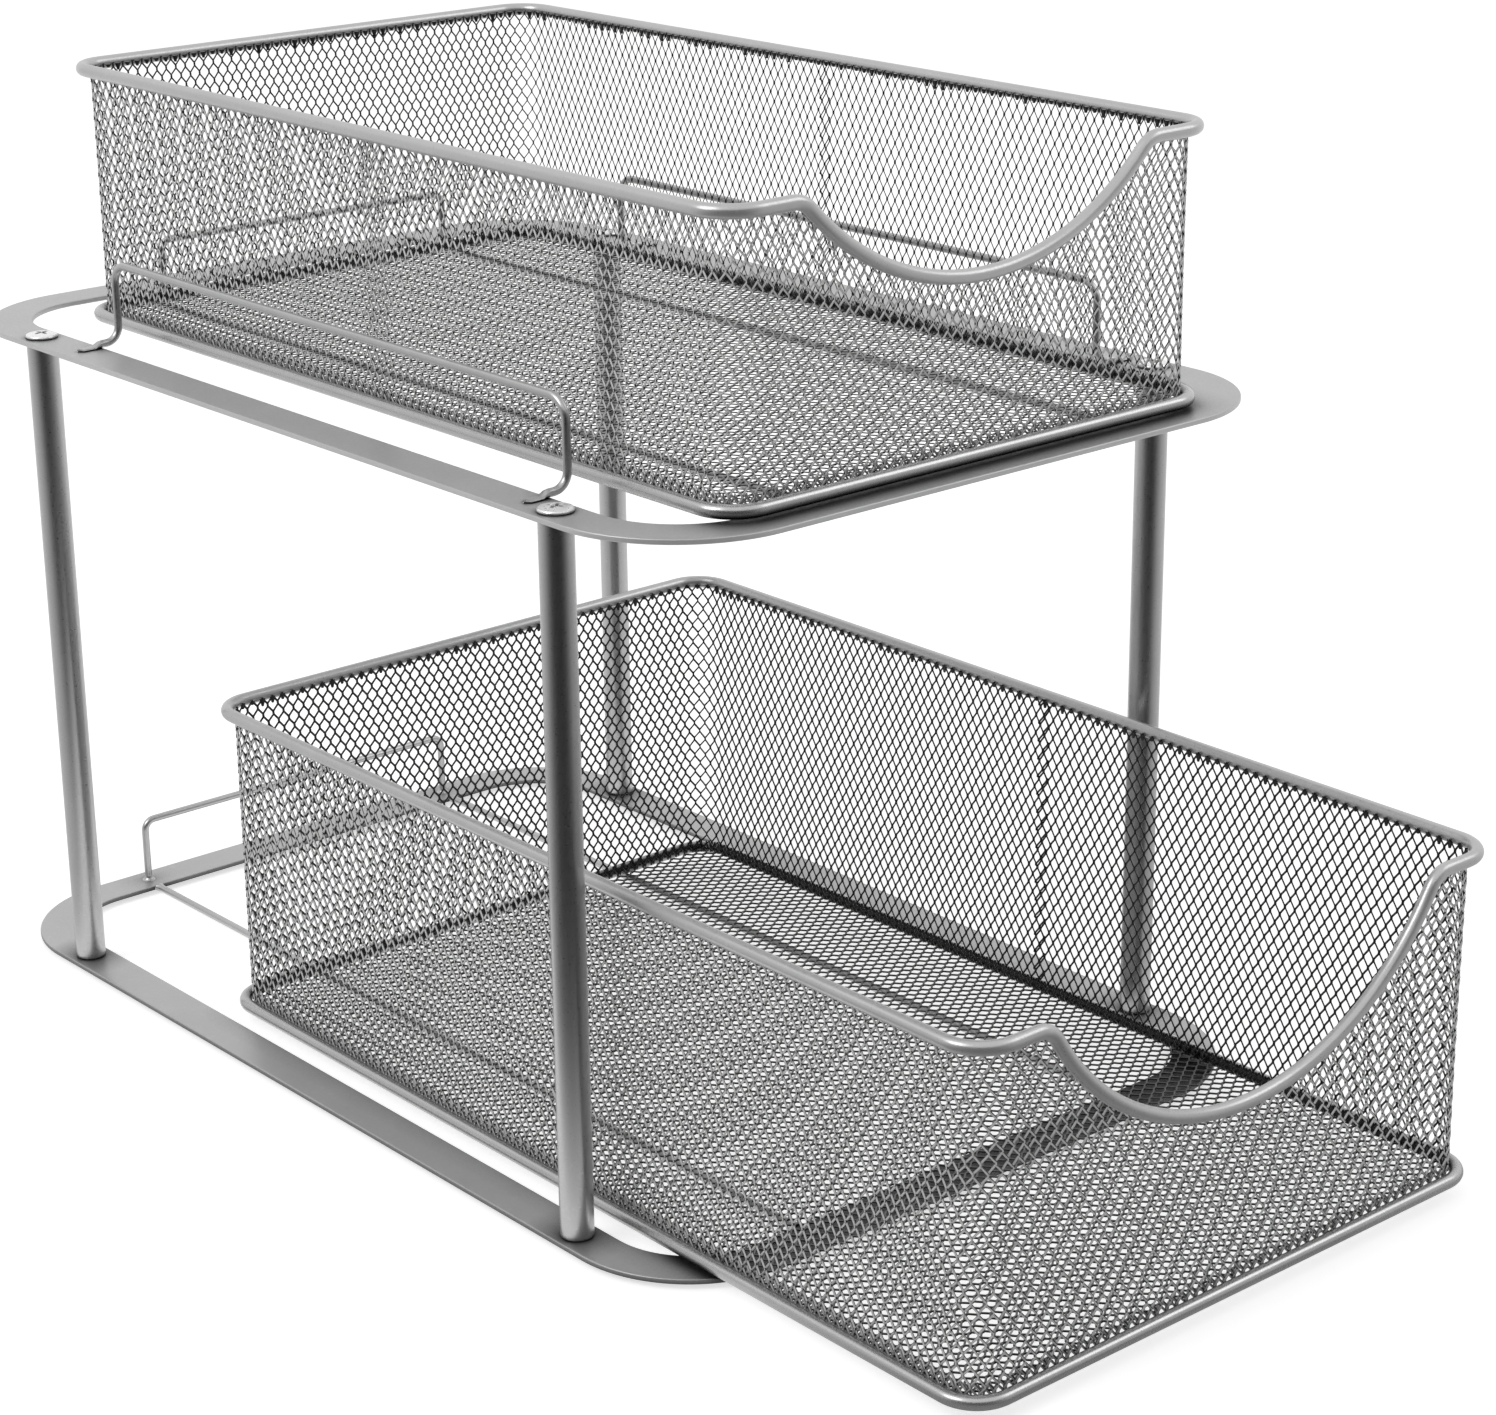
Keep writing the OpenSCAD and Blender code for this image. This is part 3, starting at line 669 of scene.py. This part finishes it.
def wall_layers(b, middles):
    """All bars of the walls: (start, end, widths, end's share, leans or not, upper edge)."""
    total, (short, tall), height = perimeter(b), b["cell"], wall_height(b)

    def fold_edge(s):
        return np.full(len(s), FOLD_HIGH)

    def sheet(points, move, edge):
        sa, sb, ba, bb = (p + np.array(move) for p in points)
        return [(sa, sb, b["strand"], 1.0, True, edge), (ba, bb, b["bond"], 1.0, False, edge)]

    field = lattice(total, b["tall"], short, tall, closed=True)
    layers = sheet(field, (0, 0, 0), height)
    for share, n, z in FOLDS:
        layers += sheet(field, (share * short, n, z), fold_edge)
    count = round(total / short)
    teeth = (np.arange(count) + 0.5) * total / count
    top = np.stack([teeth, np.zeros(count), height(teeth) - TOOTH_BELOW_RIM], 1)
    tips = top - np.outer(rng.uniform(*TOOTH_SPREAD, count) * TOOTH_LONG, [0, 0, 1])
    layers.append((top, tips, (TOOTH_WIDE, TOOTH_THICK), TOOTH_TIP, False, height))
    for side, wide in SEAMS:
        seam = lattice(wide, b["tall"], short, tall, shift=middles[side] - wide / 2 + SEAM_SHIFT)
        layers += sheet(seam, SEAM_MOVE, height)
    return layers


def make_panel(level, side, parts, lit_faces):
    """One panel of mesh; lit_faces has the painted light and shade of each of a bar's four faces."""
    verts, faces = join(parts)
    lit = np.tile(lit_faces, sum(len(f) for f in faces) // 4)
    node = f"{level}_mesh_{side}"
    body = f"{level}_basket"
    finish_mesh(node + "_strands", node, (verts, faces), mesh_coat, body, lit)


def make_walls(level, b):
    total = perimeter(b)
    arc = MESH_CORNER * math.pi / 2
    right = (b["flat_x"] + arc, b["flat_x"] + arc + 2 * b["flat_y"])
    left = (total - right[1], total - right[0])
    middles = {"right": sum(right) / 2, "left": sum(left) / 2}
    parts = {side: [] for side in ("front", "right", "back", "left")}
    for start, end, (across, deep), tip, leans, edge in wall_layers(b, middles):
        start, end = clip_between(start, end, lambda s: np.full(len(s), WALL_FOOT), edge)
        s = np.mod((start[:, 0] + end[:, 0]) / 2, total)
        lean = lean_of(s, right[1], arc, left[1] + arc / 2) if leans else 0.0
        verts, quads = beams(start, end, across / 2, deep / 2, tip, lean)
        wave = WAVE * np.sin(verts[:, :, 0] / WAVE_LONG + WAVE_START)
        n = verts[:, :, 1] + wave * np.sin(verts[:, :, 2] * math.pi / b["tall"])
        x, y = wall_place(verts[:, :, 0].ravel(), n.ravel(), b)
        place = np.stack([x, y + FRAME_Y + b["y"], verts[:, :, 2].ravel() + b["z"]], 1).reshape(-1, 8, 3)
        side_of = np.select([s < right[0], s < right[1], s < left[0], s < left[1]],
                            ["front", "right", "back", "left"], "front")
        for side, kept in parts.items():
            chosen = place[side_of == side]
            if len(chosen):
                kept.append((chosen.reshape(-1, 3), [quads[:len(chosen)].reshape(-1, 4)]))
    for side, kept in parts.items():
        # Painted shade: each bar's outer face keeps its full tone, its edges and inner face are shaded
        # dark
        make_panel(level, side, kept, [1.0, 0.0, 0.0, 0.0])


# ---- Basket floors and wires --------------------------------------------------


def make_floor(level, b):
    """The floor's cells lie with their long way across the basket, so s runs along it."""
    half_x, half_y = b["wide"] / 2 - WIRE_R - FLOOR_INSET, b["long"] / 2 - WIRE_R - FLOOR_INSET
    corner = WIRE_CORNER - FLOOR_INSET

    def reach(s):
        """Half width of the floor at the place s along its length."""
        over = np.clip(np.abs(s - half_y) - (half_y - corner), 0, corner)
        return half_x - corner + np.sqrt(np.clip(corner ** 2 - over ** 2, 0, None))

    sa, sb, ba, bb = lattice(2 * half_y, 2 * half_x, *b["cell"])
    parts = []
    for start, end, (across, deep), lean in ((sa, sb, b["strand"], FLOOR_LEAN), (ba, bb, b["bond"], 0.0)):
        start, end = clip_between(start, end, lambda s: half_x - reach(s), lambda s: half_x + reach(s))
        inside = (start[:, 0] > FLOOR_PLAY) & (end[:, 0] < 2 * half_y - FLOOR_PLAY)
        verts, quads = beams(start[inside], end[inside], across / 2, deep / 2, 1.0, lean)
        s, n, z = verts.reshape(-1, 3).T
        dip = [np.sin(np.clip(v / (2 * half), 0, 1) * math.pi) for v, half in ((s, half_y), (z, half_x))]
        height = n + b["z"] - SAG * dip[0] * dip[1]
        parts.append((np.stack([z - half_x, s - half_y + FRAME_Y + b["y"], height], 1),
                      [quads.reshape(-1, 4)[:, ::-1]]))
    # Painted light and shade: the floor strands' tops are part shaded, their edges shaded, their
    # undersides at full tone
    make_panel(level, "floor", parts, [LIT_TOP, 0.0, 1.0, 0.0])


def make_wires(level, b):
    """The rim with its scoop and the weld where it was closed, and the base wire."""
    x, y, c = b["wide"] / 2 - WIRE_R, b["long"] / 2 - WIRE_R, WIRE_CORNER
    slope = scoop_slope(b["deep"])
    low = b["deep"] + SCOOP_ROUND * (1 / math.cos(slope) - 1)
    half = low / math.tan(slope)
    points = [(-x, -y, 0), (-half, -y, 0), (0, -y, -low), (half, -y, 0), (x, -y, 0), (x, y, 0), (-x, y, 0)]
    radii = [c, SCOOP_BEND, SCOOP_ROUND, SCOOP_BEND, c, c, c]
    path = bent_path(points, radii, closed=True, straight=5.0)
    from_joint = np.linalg.norm(path - np.array([-half - RIM_JOINT, -y, 0]), axis=1)
    radius = WIRE_R + np.where(from_joint < RIM_JOINT_RUN, JOINT_PROUD, 0.0)
    rim = sweep(path, circle_outline(WIRE_SIDES), radius, radius, closed=True)
    rim = shifted(rim, 0, FRAME_Y + b["y"], b["z"] + b["tall"])
    path = bent_path([(-x, -y, 0), (x, -y, 0), (x, y, 0), (-x, y, 0)], [c] * 4, closed=True, straight=20.0)
    base = sweep(path, circle_outline(WIRE_SIDES), WIRE_R, WIRE_R, closed=True)
    base = shifted(base, 0, FRAME_Y + b["y"], b["z"])
    body = f"{level}_basket"
    finish_mesh(f"{level}_rim_wire", f"{level}_rim", rim, wire_coat, body)
    finish_mesh(f"{level}_base_wire", f"{level}_base_frame", base, base_coat, body)


for level, b in BASKETS.items():
    make_walls(level, b)
    make_floor(level, b)
    make_wires(level, b)

# ---- Stage, in metres ---------------------------------------------------------

FLOOR_REACH, FLOOR_TONE = 8.0, 0.66
ROOM_SIDES, ROOM_R, ROOM_HIGH = 96, 3.0, 2.0
TABLE_RINGS, TABLE_HIGH = (0.24, 0.7, ROOM_R), 0.002
TOWARDS_CAMERA = Vector((-0.62, -0.785, 0)).normalized()
SKY_LIGHT = 0.56
LAMP_AIM = Vector((0, 0, 0.15))

# How bright the surroundings are, from behind the stand (0) round to the camera's side (1)
ROOM_STOPS = [(0.15, 1.0), (0.5, 0.70), (0.63, 0.60), (0.77, 0.38), (0.88, 0.15),
              (0.95, 0.045), (1.0, 0.02)]
# How bright the table is, by its distance from the stand's middle
TABLE_STOPS = [(0.24, 1.0), (0.29, 0.6), (0.35, 0.25), (0.42, 0.08), (0.52, 0.0)]


def floor_material():
    """Pale floor: a diffuse share that takes the shadow and a plain share that reads white."""
    material = bpy.data.materials.new("floor_white")
    graph = Graph(material)
    matte = graph.add("BsdfDiffuse", {"Color": (FLOOR_TONE, FLOOR_TONE, FLOOR_TONE, 1)})
    glow = graph.add("Emission", {"Strength": FLOOR_TONE})
    both = graph.add("AddShader")
    graph.feed(both.inputs[0], matte.outputs[0])
    graph.feed(both.inputs[1], glow.outputs[0])
    graph.add("OutputMaterial", {"Surface": both.outputs[0]})
    return material


def room_material(name, with_table):
    """The room round the stand, darkest behind the camera; on the table it is bright near the stand."""
    material = bpy.data.materials.new(name)
    graph = Graph(material)
    split = graph.add("SeparateXYZ", {"Vector": graph.object_coords()})
    x, y = split.outputs["X"], graph.math("SUBTRACT", split.outputs["Y"], FRAME_Y * MM)
    squares = graph.math("ADD", graph.math("MULTIPLY", x, x), graph.math("MULTIPLY", y, y))
    r = graph.math("SQRT", squares)
    ahead = graph.math("ADD", graph.math("MULTIPLY", x, TOWARDS_CAMERA.x),
                       graph.math("MULTIPLY", y, TOWARDS_CAMERA.y))
    cosine = graph.math("DIVIDE", ahead, r)
    grey = graph.ramp(graph.math("MULTIPLY", graph.math("ADD", cosine, 1.0), 0.5), ROOM_STOPS)
    if with_table:
        grey = graph.math("MAXIMUM", grey, graph.ramp(r, TABLE_STOPS))
    glow = graph.add("Emission", {"Strength": grey})
    graph.add("OutputMaterial", {"Surface": glow.outputs[0]})
    return material


def stage_piece(name, points, faces, material):
    mesh = bpy.data.meshes.new(name)
    mesh.from_pydata(points, [], faces)
    piece = add_object(name, mesh, material)
    return piece


def around(name, rings, material):
    """Bands round the stand through rings of (radius, height), seen only in reflections."""
    a = np.arange(ROOM_SIDES) * 2 * math.pi / ROOM_SIDES
    points = [(r * math.cos(v), FRAME_Y * MM + r * math.sin(v), h) for r, h in rings for v in a]
    quads = grid_quads(len(rings), ROOM_SIDES, False)[:, ::-1]
    piece = stage_piece(name, points, quads.tolist(), material)
    piece.visible_camera = piece.visible_diffuse = piece.visible_transmission = False
    piece.visible_shadow = piece.visible_volume_scatter = False


def lamp(name, place, size, energy):
    data = bpy.data.lights.new(name, "AREA")
    data.shape = "DISK"
    data.size = size
    data.energy = energy
    piece = bpy.data.objects.new(name, data)
    bpy.context.scene.collection.objects.link(piece)
    piece.location = place
    piece.rotation_mode = "QUATERNION"
    piece.rotation_quaternion = (LAMP_AIM - Vector(place)).to_track_quat("-Z", "Y")


def make_world():
    """A plain sky that lights the object softly and is white where it is seen or mirrored."""
    world = bpy.data.worlds.new("studio")
    bpy.context.scene.world = world
    graph = Graph(world)
    ray = graph.add("LightPath").outputs
    seen = graph.math("ADD", ray["Is Camera Ray"], ray["Is Glossy Ray"])
    seen = graph.math("ADD", seen, ray["Is Transmission Ray"])
    strength = graph.spread(seen, SKY_LIGHT, 1.0, 0.0, 1.0)
    sky = graph.add("Background", {"Color": (1, 1, 1, 1), "Strength": strength})
    graph.add("OutputWorld", {"Surface": sky.outputs[0]})


far = FLOOR_REACH
floor_corners = [(-far, -far, 0), (far, -far, 0), (far, far, 0), (-far, far, 0)]
stage_piece("stage_floor", floor_corners, [[0, 1, 2, 3]], floor_material())
table_rings = [(r, TABLE_HIGH) for r in TABLE_RINGS]
around("stage_table_and_room", table_rings, room_material("room_low", True))
around("stage_room_wall", [(ROOM_R, TABLE_HIGH), (ROOM_R, ROOM_HIGH)], room_material("room_high", False))
make_world()
lamp("key", (-1.6, 0.2, 1.7), 1.3, 14.0)
lamp("fill", (1.4, -1.0, 1.6), 1.2, 5.0)

# ---- Camera, fitted to the photograph, in metres ------------------------------

AZ, EL, ROLL = map(math.radians, (-40.54, 19.61, -0.64))
LENS, SENSOR = 83.99, 36.0
CAMERA_PLACE = (-0.79159, -0.95891, 0.57929)

forward = Vector((-math.sin(AZ) * math.cos(EL), math.cos(AZ) * math.cos(EL), -math.sin(EL)))
right = Vector((math.cos(AZ), math.sin(AZ), 0))
up = right.cross(forward)
axis_x = right * math.cos(ROLL) + up * math.sin(ROLL)
axis_y = up * math.cos(ROLL) - right * math.sin(ROLL)

camera_data = bpy.data.cameras.new("camera")
camera_data.lens = LENS
camera_data.sensor_width = SENSOR
camera_data.clip_start, camera_data.clip_end = 0.05, 60.0
camera = bpy.data.objects.new("camera", camera_data)
bpy.context.scene.collection.objects.link(camera)
camera.matrix_world = (Matrix.Translation(CAMERA_PLACE)
                       @ Matrix((axis_x, axis_y, -forward)).transposed().to_4x4())
bpy.context.scene.camera = camera
bpy.context.scene.view_settings.view_transform = "Standard"

bpy.context.view_layer.update()
